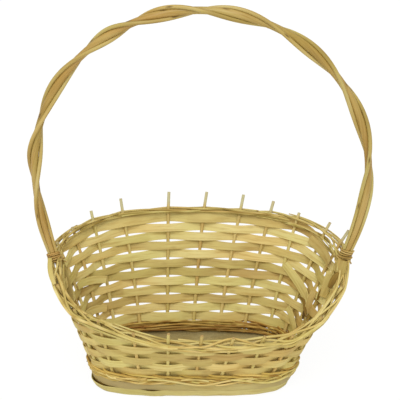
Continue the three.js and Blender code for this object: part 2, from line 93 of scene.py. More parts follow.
# %% The wall's sizes
WALL_HEIGHT = 154.5
WALL_HOLLOW = 0.08
BASE_HALF = (107.5, 46.5)
RIM_HALF_BACK = (165, 109)
RIM_HALF_FRONT = (165, 95)
BASE_SHIFT = (-10, -6.4)
STAKES = 24
QUARTER, HALF_ROUND = 6, 12
RIGHT_FOOT, BACK, LEFT_FOOT, FRONT = 0, 6, 12, 18
STAKE_RADIUS = 1.9
FOOT_RADIUS = 2.2

RIM_DROP = [5.5, 6.5, 4, 1.5, 1.2, 1.2, 0.3, 0, 0, 1.5, 3, 5.5,
            5.5, 25.2, 43, 50, 62, 71.5, 74.2, 74.2, 72.5, 70.5, 53, 28.5]
ROW_SQUEEZE = [0.95, 0.943, 0.965, 0.986, 0.989, 0.989, 0.997, 1, 1, 0.986, 0.973, 0.951,
               0.951, 0.935, 0.915, 0.9, 0.89, 0.865, 0.85, 0.85, 0.865, 0.88, 0.9, 0.93]
RIM_BULGE = [-1] + [0] * 10 + [3, 0.5, 6, 5, 2] + [0] * 5 + [9, 15, 11]
BASE_STAKE_SHIFT = [0] * 15 + [0.07, 0.05, 0.08, 0.1, 0, 0.05, -0.12, 0, 0]
RIM_STAKE_SHIFT = [0, 0, 0.03, 0.26, 0.05, -0.12, -0.11, -0.12, 0.15, 0.05, 0, 0,
                   0, 0, 0, 0.05, 0.1, 0.19, 0.24, 0.29, 0.2, 0.1, 0, 0]
STAKE_TIPS = [0, 17, 9, 5, 12, 16, 17, 17, 15, 10, 3, 2, 0, 2, 2, 3, 3, 14, 14, 10, 8, 3, 3, 3]
print("the rim is", 2 * RIM_HALF_BACK[0], "mm long at the stakes")

# %% The wall as a function of stake and height
OVAL_POINTS = 401
TABLE_POINTS = 241
SIDE_STEP = 0.02


def quarter_table(half, roundness, end_spacing):
    """A quarter of a rounded oval, at even steps of the stake number.

    end_spacing is the stakes' spacing near the basket's end, as a share of that elsewhere.
    """
    t = np.linspace(0, pi / 2, OVAL_POINTS)
    x = half[0] * np.clip(np.cos(t), 0, 1) ** (2 / roundness)
    y = half[1] * np.sin(t) ** (2 / roundness)
    length = np.concatenate([[0], np.cumsum(np.hypot(np.diff(x), np.diff(y)))])
    place = np.linspace(0, QUARTER, TABLE_POINTS)
    half_way = QUARTER / 2
    share = np.minimum(place, half_way) * end_spacing + np.maximum(place - half_way, 0)
    target = length[-1] * share / (half_way * (1 + end_spacing))
    return place, np.interp(target, length, x), np.interp(target, length, y)


BASE_QUARTER = quarter_table(BASE_HALF, roundness=3.7, end_spacing=0.57)
BACK_QUARTER = quarter_table(RIM_HALF_BACK, roundness=2.4, end_spacing=0.75)
FRONT_QUARTER = quarter_table(RIM_HALF_FRONT, roundness=2.8, end_spacing=0.75)


def oval(back, front, place):
    """A point of an oval made of four quarters; the front may be flatter than the back."""
    place = place % STAKES
    quarter = min(int(place // QUARTER), 3)
    inside = place - quarter * QUARTER
    table = back if quarter < 2 else front
    out = inside if quarter % 2 == 0 else QUARTER - inside
    x, y = (float(np.interp(out, table[0], values)) for values in table[1:])
    return Vector((x if quarter in (0, 3) else -x, y if quarter < 2 else -y))


def around(values, place):
    """A list of one value for each stake, read as a line round the basket."""
    place = place % STAKES
    low = int(place) % STAKES
    part = place - int(place)
    return values[low] * (1 - part) + values[(low + 1) % STAKES] * part


def wall(place, height):
    """The middle of the wall at a stake number and a height, in millimetres."""
    base = oval(BASE_QUARTER, BASE_QUARTER, place + around(BASE_STAKE_SHIFT, place))
    rim = oval(BACK_QUARTER, FRONT_QUARTER, place + around(RIM_STAKE_SHIFT, place))
    rim *= 1 + around(RIM_BULGE, place) / rim.length
    v = height / WALL_HEIGHT
    along = v - WALL_HOLLOW * 4 * v * (1 - v)
    x = base.x + BASE_SHIFT[0] + (rim.x - base.x - BASE_SHIFT[0]) * along
    y = base.y + BASE_SHIFT[1] + (rim.y - base.y - BASE_SHIFT[1]) * v
    return Vector((x, y, height))


def wall_out(place, height):
    """The direction out of the wall, square to it."""
    side = wall(place + SIDE_STEP, height) - wall(place - SIDE_STEP, height)
    return side.cross(wall(place, height + 1) - wall(place, height)).normalized()


def wall_up(place, height):
    return (wall(place, height + 1) - wall(place, height - 1)).normalized()


def radius_at(place):
    """Stakes are thin, but the handle's feet stand at places 0 and 12 and are thicker."""
    near = min(place % HALF_ROUND, HALF_ROUND - place % HALF_ROUND)
    return FOOT_RADIUS + (STAKE_RADIUS - FOOT_RADIUS) * min(near, 1)


print("middle of the back rim:", [round(v, 1) for v in wall(BACK, WALL_HEIGHT)])

# %% [markdown]
# ## Laying willow along a line
#
# Each rod and strip is a curve with a cross-section, as a real shoot is bent round the stakes. An
# extruded polygon would do too, but a curve keeps its section square to its path, and its tilt
# turns a flat strip to lie against the leaning wall. The curve is turned into a mesh, its caps are
# sewn on, and its UV map is stretched to real metres, so that the grain follows every bend. Lines
# are worked out in millimetres on the maker's bench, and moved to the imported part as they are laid.

# %% Helpers for curves
MM = 0.001
BENCH_TO_PART = Vector((-0.0012, -0.01865, -0.0002))
chance = random.Random(24)


def to_part(point):
    return Vector(point) * MM + BENCH_TO_PART


def tilt_between(along, wanted):
    """How far a curve has to tilt for its section's height to point the wanted way."""
    up = Vector((0, 0, 1)) - along * along.z
    up.normalize()
    return atan2(along.dot(up.cross(wanted)), up.dot(wanted))


def flat_curve(name, outlines):
    """A flat curve of closed outlines in metres. An outline inside another is a hole."""
    curve = add(bpy.ops.curve.primitive_bezier_circle_add, name)
    curve.data.dimensions = "2D"
    curve.data.fill_mode = "BOTH"
    curve.data.splines.clear()
    for outline in outlines:
        line = curve.data.splines.new("POLY")
        line.points.add(len(outline) - 1)
        for point, (x, y) in zip(line.points, outline):
            point.co = (x, y, 0, 1)
        line.use_cyclic_u = True
    return curve


def section(name, outline):
    """A cross-section in millimetres: x goes through the wall, y goes up it."""
    return flat_curve(name, [[(x * MM, y * MM) for x, y in outline]])


STRIP_WIDTH = 9.5
strip_section = section("strip_section", [
    (0.15, -4.75), (0.38, -4.55), (0.48, -3.2), (0.54, 0), (0.48, 3.2), (0.38, 4.55),
    (0.15, 4.75), (-0.15, 4.75), (-0.4, 4.55), (-0.46, 3.2), (-0.44, 0), (-0.46, -3.2),
    (-0.4, -4.55), (-0.15, -4.75)])
print("a strip is", STRIP_WIDTH, "mm wide and 1 mm thick")

# %% Laying one shoot
STRIP_GIRTH = 0.021
GRAIN_LENGTH, GRAIN_ROUND = 40, 5
SEWING_REACH = 1e-6
SOFT_EDGE = radians(38)


def grain_along(mesh, points, closed, girth):
    """Stretches the UV map to metres and moves it to a part of the grain of its own."""
    steps = [0.0]
    for a, b in zip(points, points[1:] + points[:1]):
        steps.append(steps[-1] + (b - a).length)
    steps = np.array(steps if closed else steps[:-1])
    uv = np.empty(len(mesh.loops) * 2)
    layer = mesh.uv_layers[0].data
    layer.foreach_get("uv", uv)
    uv = uv.reshape(-1, 2)
    where = uv[:, 0] * (len(steps) - 1)
    uv[:, 0] = np.interp(where, np.arange(len(steps)), steps) + chance.uniform(0, GRAIN_LENGTH)
    uv[:, 1] = uv[:, 1] * girth + chance.uniform(0, GRAIN_ROUND)
    layer.foreach_set("uv", uv.ravel())
    return where


def sew():
    """Sews the active piece's caps on and turns all its faces outward."""
    bpy.ops.object.mode_set(mode="EDIT")
    bpy.ops.mesh.select_all(action="SELECT")
    bpy.ops.mesh.remove_doubles(threshold=SEWING_REACH)
    bpy.ops.mesh.normals_make_consistent(inside=False)
    bpy.ops.object.mode_set(mode="OBJECT")


def lay(name, points, sizes, tones, barks=None, shape=None, ups=None, closed=False,
        standing=False, sides=10):
    """Lays a shoot along points in bench millimetres.

    sizes are a rod's radii or the shares of a flat section. tones and barks say how dark the
    willow is and how much bark or weather is left. standing lays the curve flat and then
    stands it up: a curve's tilt is measured from straight up, where a handle's legs run.
    """
    path = [to_part(p) for p in points]
    if standing:
        path = [Vector((p.x, p.z, -p.y)) for p in path]
        ups = ups and [Vector((u.x, u.z, -u.y)) for u in ups]
    piece = add(bpy.ops.curve.primitive_nurbs_path_add, name)
    curve = piece.data
    curve.splines.clear()
    line = curve.splines.new("POLY")
    line.points.add(len(path) - 1)
    line.use_cyclic_u = closed
    count = len(path)
    for i, point in enumerate(line.points):
        point.co = (*path[i], 1)
        point.radius = sizes[i]
        if ups:
            before = path[i - 1] if closed or i else path[0]
            after = path[(i + 1) % count] if closed or i < count - 1 else path[-1]
            along = (after - before).normalized()
            wanted = (ups[i] - along * along.dot(ups[i])).normalized()
            point.tilt = tilt_between(along, wanted)
    curve.twist_mode = "Z_UP"
    curve.use_fill_caps = True
    if shape:
        curve.bevel_mode = "OBJECT"
        curve.bevel_object = shape
    else:
        curve.bevel_depth = MM
        curve.bevel_resolution = (sides - 4) // 2
    bpy.ops.object.convert(target="MESH")
    mesh = piece.data
    girth = STRIP_GIRTH if shape else 2 * pi * MM * sum(sizes) / count
    where = grain_along(mesh, path, closed, girth)
    for layer, values in (("tone", tones), ("bark", barks or [0.0] * count)):
        attribute = mesh.attributes.new(layer, "FLOAT", "CORNER")
        attribute.data.foreach_set("value", np.interp(where, np.arange(count), values))
    if standing:
        piece.rotation_euler = (pi / 2, 0, 0)
        bpy.ops.object.transform_apply()
    sew()
    bpy.ops.object.shade_smooth_by_angle(angle=SOFT_EDGE)
    return piece


# %% Bark and painted shade on the inner side of a rod
INNER_SIDE_OVAL = (118, 58)


def bark_and_shade_inside(piece, most):
    """Darkens a rod's side that faces into the basket: partly bark left there, partly painted shade.
    """
    mesh = piece.data
    corners = mesh.attributes["bark"].data
    for face in mesh.polygons:
        middle = (face.center - BENCH_TO_PART) / MM
        out = Vector(((middle.x - BASE_SHIFT[0]) / INNER_SIDE_OVAL[0]**2,
                      (middle.y - BASE_SHIFT[1]) / INNER_SIDE_OVAL[1]**2, 0)).normalized()
        share = min(max(0.5 - face.normal.dot(out) * 1.1, 0), 1)
        for corner in face.loop_indices:
            corners[corner].value = share * most


# %% [markdown]
# ## Finishes
#
# Buff willow is boiled and peeled and comes out a warm tan; white willow is peeled fresh and is
# pale straw. Split strips show the long fibres of the wood; rods keep the smooth skin under the
# bark, with small dark scars where buds sat. A picture of willow would repeat from rod to rod, so
# the fibres and scars are noise along the grain. One builder makes all the finishes, with a tone
# for each length, because a basket is never made from one plant. Colours are written as on a screen
# and turned to linear light by one function.

# %% Helpers for finishes
WHITE, BLACK = (1, 1, 1, 1), (0, 0, 0, 1)


def linear(hex_colour):
    """An sRGB hex colour as linear light, with alpha."""
    values = [int(hex_colour[i:i + 2], 16) / 255 for i in (0, 2, 4)]
    return (*[v / 12.92 if v <= 0.04045 else ((v + 0.055) / 1.055) ** 2.4 for v in values], 1)


def feed(node, inputs):
    """Gives each named input of a node a value, or the output of another node."""
    for key, value in inputs.items():
        socket = node.inputs[key]
        if isinstance(value, bpy.types.NodeSocket):
            node.id_data.links.new(value, socket)
        else:
            socket.default_value = value


def add_node(material, kind, inputs=None, **settings):
    node = material.node_tree.nodes.new("ShaderNode" + kind)
    for name, value in settings.items():
        setattr(node, name, value)
    feed(node, inputs or {})
    return node


def maths(material, operation, *values, clamp=False):
    return add_node(material, "Math", dict(enumerate(values)), operation=operation,
                    use_clamp=clamp).outputs[0]


def mix(material, share, first, second, blend="MIX"):
    return add_node(material, "Mix", {0: share, 6: first, 7: second}, data_type="RGBA",
                    blend_type=blend).outputs[2]


def noise(material, place, scale, **more):
    return add_node(material, "TexNoise", {"Vector": place, "Scale": scale, **more}).outputs["Fac"]


def colour_ramp(material, factor, stops):
    """Colours at places from 0 to 1, as hex or as linear light."""
    ramp = add_node(material, "ValToRGB", {"Fac": factor})
    elements = ramp.color_ramp.elements
    while len(elements) < len(stops):
        elements.new(1)
    for element, (place, colour) in zip(elements, stops):
        element.position = place
        element.color = linear(colour) if isinstance(colour, str) else colour
    return ramp.outputs["Color"]


def new_finish(name):
    material = bpy.data.materials.new(name)
    material.use_nodes = True
    return material, material.node_tree.nodes["Principled BSDF"]


def object_place(material):
    return add_node(material, "TexCoord").outputs["Object"]


# %% The willow finish
FIBRE = (38, 1.3)
PATCH = (55, 9)
TINT = (140, 30)
BARK_PATCH = (30, 5)
SCAR_SPACING = (60, 14)
PEELED_IOR = 1.46


def willow(name, colours, rough, fibre_depth, spots):
    """Willow with its grain along u and around v, both in metres.

    Patterns have a length and a width in millimetres. Real fibres are too fine to draw, so
    they are 1.3 mm wide here. The colours are pale, middle and dark wood, bud scars, and what
    the peeling or the weather left; on the inner side of rods that last colour is also painted
    shade.
    """
    material, shader = new_finish(name)
    pale, middle, dark, scar, bark = map(linear, colours.split())
    uv = add_node(material, "UVMap", uv_map="UVMap").outputs["UV"]

    def scaled(size, shift=0):
        return add_node(material, "Mapping", {
            "Vector": uv, "Location": (shift,) * 3,
            "Scale": (1000 / size[0], 1000 / size[1], 1)}).outputs["Vector"]

    def pattern(size, detail, coarse, shift):
        return noise(material, scaled(size, shift), 1, Detail=detail, Roughness=coarse)

    def laid(attribute):
        return add_node(material, "Attribute", attribute_name=attribute).outputs["Fac"]

    fibres = pattern(FIBRE, 4, 0.6, 3)
    slow = maths(material, "MULTIPLY_ADD", pattern(PATCH, 2, 0.5, 11), 0.9, -0.45)
    tone = maths(material, "ADD", laid("tone"), slow)
    colour = colour_ramp(material, tone, [(0, pale), (0.55, middle), (1, dark)])
    streak = colour_ramp(material, fibres, [(0.33, "cfb378"), (0.52, WHITE)])
    colour = mix(material, 0.5, colour, streak, "MULTIPLY")
    tint = colour_ramp(material, pattern(TINT, 1, 0.5, 29), [
        (0.36, "f7fbee"), (0.5, WHITE), (0.64, "fdf2e6")])
    colour = mix(material, 1, colour, tint, "MULTIPLY")
    left = laid("bark")
    torn = maths(material, "MULTIPLY_ADD", pattern(BARK_PATCH, 3, 0.6, 47), 0.8, -0.4)
    here = maths(material, "MULTIPLY", maths(material, "ADD", left, torn), left, clamp=True)
    colour = mix(material, here, colour, bark)
    scar_near = add_node(material, "TexVoronoi", {
        "Vector": scaled(SCAR_SPACING), "Scale": 1, "Randomness": 1},
        voronoi_dimensions="2D").outputs["Distance"]
    mark = colour_ramp(material, scar_near, [(0.02, (spots, spots, spots, 1)), (0.09, BLACK)])
    colour = mix(material, mark, colour, scar)
    bump = add_node(material, "Bump", {
        "Height": fibres, "Strength": 0.6, "Distance": fibre_depth * MM}).outputs["Normal"]
    roughness = maths(material, "MULTIPLY_ADD", fibres, 0.25, rough - 0.12)
    feed(shader, {"Base Color": colour, "Roughness": roughness, "Normal": bump,
                  "IOR": PEELED_IOR})
    return material


WILLOWS = [
    # name, colours, roughness, depth of the fibres in millimetres, strength of the bud scars
    ("split_white_willow", "dfd08e cfbd76 b2975a 8a6a33 7a5520", 0.62, 0.12, 0.25),
    ("weathered_willow_strip", "cfc284 bfae6c a58c52 7f602d a3956a", 0.66, 0.12, 0.25),
    ("peeled_willow_stake", "d9c887 c7b06c a98b4c 7a5a28 c4c29e", 0.58, 0.1, 0.5),
    ("peeled_wale_rod", "ded092 cbb76e a08942 6b4a1c 7a5a20", 0.58, 0.1, 0.5),
    ("half_peeled_base_wale_rod", "d8c479 c2a553 987128 543512 86560f", 0.64, 0.14, 0.5),
    ("buff_willow_handle_rod", "c8b274 ae914b 84642a 563b12 745b2a", 0.42, 0.1, 0.9),
    ("pale_willow_handle_wrap", "ccbf84 b7a15c 8e7136 60451a 7c6332", 0.45, 0.1, 0.9),
    ("split_willow_binder", "cab071 b0914f 896730 5d4118 6f4c1b", 0.6, 0.12, 0.5),
    ("torn_willow_bark", "a58338 80621c 4c350c 3a2808 5c4410", 0.7, 0.2, 0.5)]
(strip_willow, foot_willow, stake_willow, wale_willow, base_wale_willow, handle_willow,
 handle_wrap_willow, binding_willow, torn_bark) = [willow(*look) for look in WILLOWS]
print("willow finishes:",
      [m.name for m in bpy.data.materials if "willow" in m.name or "wale" in m.name])

# %% [markdown]
# ## Cut ends
#
# Where a shoot is cut across, the fibres stand on end and drink up dirt, so the cut is browner and
# quite matt. It could be a dark patch near the end, but the faces that close a shoot are easy to
# find, so they get a finish of their own.

# %% The cut-end finish
CUT_REACH = 0.006
CUT_FACING = 0.97
cut_willow, cut_shader = new_finish("cut_willow_end")
cut_rings = noise(cut_willow, object_place(cut_willow), 1400, Detail=2)
cut_colour = colour_ramp(cut_willow, cut_rings, [(0.3, "8f7040"), (0.7, "c2a56c")])
feed(cut_shader, {"Base Color": cut_colour, "Roughness": 0.85})


def weave(name, points, sizes, tones, material, slot, node=None, cut=True, inner_bark_and_shade=None,
          **how):
    """Lays a shoot, gives it its finish, body and cut ends, and hides the CAD part it replaces."""
    piece = lay(name, points, sizes, tones, **how)
    # The side facing into the basket is darkened: partly bark left there, partly painted shade.
    if inner_bark_and_shade is not None:
        bark_and_shade_inside(piece, inner_bark_and_shade)
    piece.data.materials.append(material)
    piece.data.materials.append(cut_willow)
    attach(piece, "root")
    if node:
        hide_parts(node)
    for end, inner in ((points[0], points[1]), (points[-1], points[-2])) if cut else ():
        place = to_part(end)
        out = (Vector(end) - Vector(inner)).normalized()
        for face in piece.data.polygons:
            if (face.center - place).length < CUT_REACH and face.normal.dot(out) > CUT_FACING:
                face.material_index = 1


# %% [markdown]
# ## Stakes
#
# The stakes taper to the top and lean out with the wall, and their cut ends stand above the rim.
# Cylinders would be too perfect, so each stake is laid along a line with a small sway.

# %% The stakes
RIM_ROD = 1.2
BASE_ROD = 1.0
STAKE_STEPS = 18
STAKE_BOTTOM = 1.2
STAKE_SWAY = 0.25
STAKE_TAPER = 0.2
TIP_LENGTH = 17


def rim_top(place):
    return WALL_HEIGHT - around(RIM_DROP, place)


stake_places = [place for place in range(STAKES) if place % HALF_ROUND]
for number, place in enumerate(stake_places, 1):
    rim = rim_top(place)
    top = rim + STAKE_TIPS[place]
    bend, tip_x, tip_y = [chance.uniform(-STAKE_SWAY, STAKE_SWAY) for _ in range(3)]
    line, radii, barks = [], [], []
    for i in range(STAKE_STEPS + 1):
        v = i / STAKE_STEPS
        point = wall(place, STAKE_BOTTOM + (top - STAKE_BOTTOM) * v)
        point += wall_out(place, 60) * bend * sin(3 * pi * v)
        past = max(0, point.z - rim) / TIP_LENGTH
        point += Vector((tip_x, tip_y, 0)) * 4 * past
        line.append(point)
        radii.append(STAKE_RADIUS * (1.14 - STAKE_TAPER * v + 0.02 * sin(9 * v + place)))
        weathered = point.z > rim - 1 and place < LEFT_FOOT
        barks.append(min(0.5 + 3 * past, 0.85) if weathered else 0.0)
    name = f"stake_{number:02d}"
    weave(f"willow_{name}", line, radii, [chance.uniform(0.1, 0.6)] * len(line), stake_willow,
          "stakes", name, barks=barks)
print(len(stake_places), "stakes")

# %% [markdown]
# ## Flat strips
#
# A strip bends in a soft wave: outside one stake, inside the next. Neighbouring rows take turns, so
# they cross between the stakes and leave small lens-shaped openings beside them. It could run
# straight from stake to stake, but a cosine of the stake number is closer to how a springy strip
# lies. At a stake a strip has its full width, and where it crosses its neighbour it is squeezed to
# the height of its row. Each row is made of several lengths of willow, so its tone changes at the
# stakes that hide the joins.

# %% Row levels
ROD_GAP = 0.3
FOOT_STRIP = 9.2
PANEL_BOTTOM = 2 * FOOT_STRIP + ROD_GAP
PANEL_TOP = PANEL_BOTTOM + 2.4
ROWS = 12
steepest = (RIM_HALF_BACK[0] - BASE_HALF[0] - BASE_SHIFT[0]) / WALL_HEIGHT


def wale_swing(rod):
    return 1.37 * (rod + ROD_GAP / 2)


def wale_dip(rod):
    return (FOOT_RADIUS + rod + ROD_GAP) * sin(atan(steepest))


BASE_WALE_PITCH = 2 * wale_swing(BASE_ROD) + 2 * BASE_ROD + ROD_GAP
RIM_WALE_HEIGHT = 2 * (wale_swing(RIM_ROD) + RIM_ROD)
ROWS_BOTTOM = PANEL_TOP + ROD_GAP + 2 * BASE_WALE_PITCH + wale_dip(BASE_ROD) / 2
ROW_PITCH = (WALL_HEIGHT - RIM_WALE_HEIGHT - ROD_GAP - ROWS_BOTTOM) / ROWS
# The rows above the lowered front run from one front corner to the other round the back.
ROW_REACH = {6: (-2, 16), 7: (-1, 15), 8: (-1, 14), 9: (-1, 13), 10: (0, 12), 11: (0, 12),
             12: (1, 11)}
print("a full row is", round(ROW_PITCH, 2), "mm high; the rows start at",
      round(ROWS_BOTTOM, 1), "mm")

# %% How wide a strip is at each place
UNDER_WALE = 3.0
STRIP_ROOM = [2.0, 0.8, -0.2, -0.3, 0.2, 0.3, 0.2, 0.3, 0.1, -0.8, -1.5, -0.9,
              0.8, 2.0, 2.4, 2.6, 2.7, 2.7, 2.7, 2.7, 2.7, 2.7, 2.6, 2.5]
REACH_STEP = 0.05
LONGEST_END = 1.8
NARROWEST_END = 2


def slow_wave(amount, waves=3):
    """A small smooth wander along a piece, the same at both ends of a full round."""
    parts = [(chance.randint(1, 9), chance.uniform(0, 6.28)) for _ in range(waves)]
    turn = 2 * pi / STAKES
    return lambda place: amount * sum(sin(k * place * turn + a) for k, a in parts) / waves


def bump(place, centre, width):
    """A smooth hill along the rim: 1 at its centre, falling off within its width."""
    away = (place - centre + STAKES / 2) % STAKES - STAKES / 2
    return exp(-(away / width) ** 2)


def row_edges(row, place):
    pitch = ROW_PITCH * around(ROW_SQUEEZE, place)
    return ROWS_BOTTOM + (row - 1) * pitch, ROWS_BOTTOM + row * pitch


def reach_of_row(row):
    """Where an open row runs out under the falling rim, past its last stakes."""
    ends = []
    for last, step in zip(ROW_REACH[row], (-REACH_STEP, REACH_STEP)):
        place = last + 6 * step
        while (abs(place - last) < LONGEST_END
               and rim_top(place) - UNDER_WALE - row_edges(row, place)[0] > NARROWEST_END):
            place += step
        ends.append(place)
    return ends


print("row 9 runs from", [round(v, 2) for v in reach_of_row(9)])

# %% Laying a woven strip
STRIP_STEPS = 10
FRONT_WIDTH = 4
LAP, FRONT_LAP = 0.45, 1.1
FRONT_SINK, FRONT_RISE = 2.2, 0.8
FIRST_ROW_DOWN, LAST_ROW_UP = 1.2, 3.6
RIGHT_GAP, LEFT_GAP = 8.5, 5
STRIP_AWAY = 0.75


def lengths_of_willow(start, end):
    """Tones for the stakes of a row: the same for a few stakes, then a new length."""
    tones = {}
    place = start
    tone = chance.uniform(0.1, 0.6)
    while place <= end:
        tone = min(max(tone + chance.uniform(-0.35, 0.35), 0.02), 0.75)
        for _ in range(chance.randint(3, 6)):
            tones[place] = tone
            place += 1
    return tones


def woven_line(row, start, end, closed):
    """The line, upward directions, width shares and tones of a strip woven round the stakes.

    front is how near the lowered front a place is: there the strips are broader, closer to
    the stakes and overlap. The top edge keeps below the rim wale, further beside both ends.
    """
    wander, rock = slow_wave(0.25), slow_wave(0.06)
    tones_at = lengths_of_willow(int(np.floor(start)) - 1, ceil(end) + 1)
    slack = [chance.uniform(-0.7, 0.5) for _ in range(STAKES)]
    count = round((end - start) * STRIP_STEPS)
    points, ups, shares, tones = [], [], [], []
    for i in range(count if closed else count + 1):
        place = start + (end - start) * i / count
        lower, upper = row_edges(row, place)
        wave = -cos(pi * (place + row))
        front = bump(place, FRONT, FRONT_WIDTH)
        room = around(STRIP_ROOM, place) + around(slack, place)
        grow = room * abs(wave) ** (1.5 - 0.5 * front) / 2
        lap = (LAP + FRONT_LAP * front) * (1 - abs(wave)) ** 1.3
        behind = front * max(-wave, 0)
        lower = lower - grow - lap - FRONT_SINK * behind - (FIRST_ROW_DOWN if row == 1 else 0)
        upper = upper + grow + lap + FRONT_RISE * behind + (LAST_ROW_UP if row == ROWS else 0)
        upper = min(upper, rim_top(place) - UNDER_WALE
                    - RIGHT_GAP * bump(place, 1.4, 0.8) - LEFT_GAP * bump(place, 11.5, 0.45))
        height = (lower + upper) / 2 + wander(place) * min((upper - lower) / ROW_PITCH, 1)
        out = wall_out(place, height)
        flat = Vector((out.x, out.y, 0))
        direction = flat / flat.length_squared * 0.55 + out * 0.45
        reach = radius_at(place) + STRIP_AWAY - STRIP_AWAY * front
        points.append(wall(place, height) + direction * reach * wave)
        ups.append(wall_up(place, height) + out * rock(place))
        shares.append(max(upper - lower, 2) / STRIP_WIDTH)
        tones.append(tones_at[int(np.floor(place + 0.5))])
    return points, ups, shares, tones


for row in range(1, ROWS + 1):
    closed = row not in ROW_REACH
    start, end = (0, STAKES) if closed else reach_of_row(row)
    points, ups, shares, tones = woven_line(row, start, end, closed)
    name = f"weave_row_{row:02d}"
    weave(f"willow_{name}", points, shares, tones, strip_willow, "willow_strips", name,
          cut=not closed, shape=strip_section, ups=ups, closed=closed)
print(ROWS, "rows of flat willow")

# %% [markdown]
# ## The foot
#
# Below the board two flat strips are pulled tight round the stakes. The upper one overlaps the
# lower one. One plain band would do from afar, but here the upper strip rides up at the left corner
# and the lower one stands away, and the slit between them is dark, partly real shade and partly a
# dark strip laid in it as painted shade.

# %% The foot strips
LEFT_CORNER, FRONT_CORNER = 13.9, 16.4
SLIT_RISE = 1.8
CORNER_LIFT = 4.5
SLIT_DEPTH = 3.6
PULLED_IN = 0.25


def foot_line(bottom, top, inset):
    """A band pulled round the stakes; inset sinks it behind the band that overlaps it."""
    wander, sway, edge = slow_wave(0.3), slow_wave(0.35), slow_wave(0.7, 4)
    points, ups, shares = [], [], []
    for i in range(STAKES * STRIP_STEPS):
        place = i / STRIP_STEPS
        corner = bump(place, LEFT_CORNER, 1.15) + 0.7 * bump(place, FRONT_CORNER, 0.4)
        low = bottom + (0 if inset else SLIT_RISE * corner + edge(place))
        lifted = 0 if inset else CORNER_LIFT * bump(place, LEFT_CORNER - 0.3, 1.0)
        stands_off = SLIT_DEPTH * corner if inset else 0
        height = (low + top + lifted) / 2 + wander(place) * 0.5 + 0.4 * stands_off
        out = wall_out(place, height)
        pulled_in = PULLED_IN * cos(2 * pi * place)
        away = radius_at(place) + 1.35 - inset + sway(place) - pulled_in + stands_off
        points.append(wall(place, height) + out * away)
        ups.append(wall_up(place, height) + out * (0.25 * corner if inset else 0))
        shares.append((top + lifted - low) / STRIP_WIDTH)
    return points, ups, shares


for name, bottom, top, inset, tone in (("foot_strip_lower", 1.0, 10.8, 0.9, 0.05),
                                       ("foot_strip_upper", 10.0, 21.4, 0.0, 0.5)):
    points, ups, shares = foot_line(bottom, top, inset)
    tones = [tone + 0.16 * sin(i / 19) for i in range(len(points))]
    weathered = [0.0 if inset else 0.62 + 0.25 * sin(i / 11) for i in range(len(points))]
    weave(f"willow_{name}", points, shares, tones, foot_willow, "willow_strips", name,
          cut=False, barks=weathered, shape=strip_section, ups=ups, closed=True)
print("2 foot strips")

# %% [markdown]
# ## Wales
#
# A wale is three thin rods worked together: each passes outside two stakes and inside the third,
# then the next takes its turn. The base wale makes two rounds on top of the board, and the rim wale
# one round along the falling rim. A twisted rope would look much alike but pass through the stakes.
# Each rod is a curve with a round bevel, and the care goes into its path.

# %% The path of a wale rod
BASE_ROUND = 3.8
BASE_WALE_ABOVE = 2.6
BASE_STEPS_UP = (31, 55)


def wale_point(place, phase, rod, level, swing, over):
    """Where a wale rod is: phase 0 inside a stake, 1 outside and high, 2 outside and low.

    over is the room between the stakes and the rod.
    """
    p = phase % 3
    middle = min(rod + ROD_GAP / 2, swing)
    up = float(np.interp(p, (0, 0.5, 1, 2, 2.5, 3), (0, middle, swing, -swing, -middle, 0)))
    through = radius_at(place) + rod + over
    if not 1 <= p < 2:
        through *= cos(pi * p) * (-1 if p < 1 else 1)
    height = level(place)
    out = wall_out(place, height)
    side = wall(place + 0.05, level(place + 0.05)) - wall(place - 0.05, level(place - 0.05))
    upward = out.cross(side.normalized()).normalized()
    return wall(place, height) + out * through + upward * up


def rim_level(place):
    return rim_top(place) - RIM_WALE_HEIGHT / 2 + wale_dip(RIM_ROD)


def base_wale_level(place):
    climbed = sum(min(max((place - step) / 2, 0), 1) for step in BASE_STEPS_UP)
    return PANEL_TOP + BASE_WALE_ABOVE + BASE_ROUND * climbed


# %% The base wale and the rim wale
WALE_STEPS = 8
BASE_SWING = 2.2


def wale_line(first, gaps, phase, rod, level, swing, over, wander, closed=False, strays=0):
    """strays is how far the rod rises, or sinks, from the others near the ends of the back."""
    sway, lift = slow_wave(wander), slow_wave(wander)
    count = gaps * WALE_STEPS
    points = []
    for i in range(count if closed else count + 1):
        place = first + i / WALE_STEPS
        point = wale_point(place, phase + place - first, rod, level, swing, over)
        out = wall_out(place, level(place))
        apart = bump(place, 1.45, 0.85) + 0.75 * bump(place, 11.5, 0.4)
        points.append(point + out * sway(place) + Vector((0, 0, lift(place) + strays * apart)))
    return points


def wandering_tones(count, low, high):
    waves = slow_wave(1, 4)
    return [low + (high - low) * (0.5 + 0.5 * waves(STAKES * i / count)) for i in range(count)]


# The wale rods' inner side is darkened: partly bark left there, partly painted shade.
for i, gaps in enumerate((3 * STAKES - 3, 3 * STAKES - 3, 3 * STAKES - 6)):
    points = wale_line(9 + i, gaps, 0, BASE_ROD, base_wale_level, BASE_SWING, 0.6, 0.5)
    weave(f"willow_base_wale_{i + 1}", points, [1.3 * BASE_ROD] * len(points),
          wandering_tones(len(points), 0.0, 0.9), base_wale_willow, "wale_rods",
          f"base_wale_rod_{i + 1}", cut=False, inner_bark_and_shade=0.85, sides=8)
for i, strays in enumerate((1.8, 0.2, -6.2)):
    points = wale_line(RIGHT_FOOT, STAKES, i, RIM_ROD, rim_level, wale_swing(RIM_ROD), 0.9,
                       0.45, True, strays)
    weave(f"willow_rim_wale_{i + 1}", points, [RIM_ROD * 1.04] * len(points),
          wandering_tones(len(points), 0.05, 0.9), wale_willow, "wale_rods",
          f"rim_wale_rod_{i + 1}", cut=False, inner_bark_and_shade=0.35, closed=True, sides=8)
print("three rods in each wale")

# %% [markdown]
# ## Loose strands
#
# The wales of a simple basket are never tidy. Thin splits run beside the rods, cross them at low
# angles and end where they please. Hair particles would be quicker, but they don't know the stakes.
# So each split wanders in and out of them in its own way, and light shows between the splits.

# %% A loose strand
CHANCE_OF_CROSSING = 0.6
END_STEPS = 4


